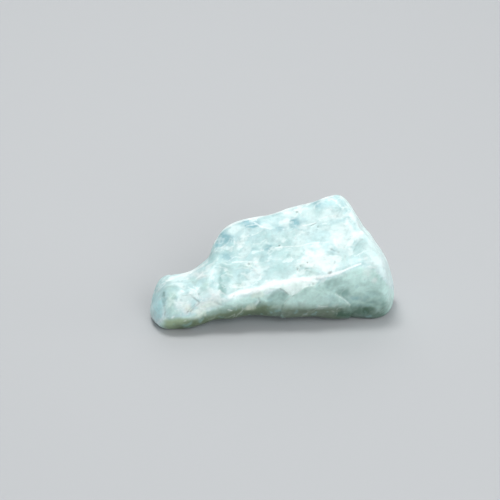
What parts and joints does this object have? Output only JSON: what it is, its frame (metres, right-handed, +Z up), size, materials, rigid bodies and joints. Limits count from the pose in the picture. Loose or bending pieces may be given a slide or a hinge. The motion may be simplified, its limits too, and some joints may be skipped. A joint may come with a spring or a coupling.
{
  "type": "rough larimar stone",
  "caption": "Worn, boot-shaped piece of rough blue larimar with a low toe, a sloping front face and a heavy heel; a loose mineral specimen that rests on its underside.",
  "frame": {"origin": "middle of the bounding box, on the surface that the stone rests on", "axes": "+X along the stone from its narrow toe to its heavy heel, +Y to the back, away from the sloping front face, +Z up"},
  "size_m": [0.0366, 0.0164, 0.0162],
  "materials": {
    "larimar": "worn smooth, satin, slightly translucent, white and sage green clouds in pale blue"
  },
  "bodies": {
    "root": {"larimar_stone": "larimar"}
  },
  "joints": []
}
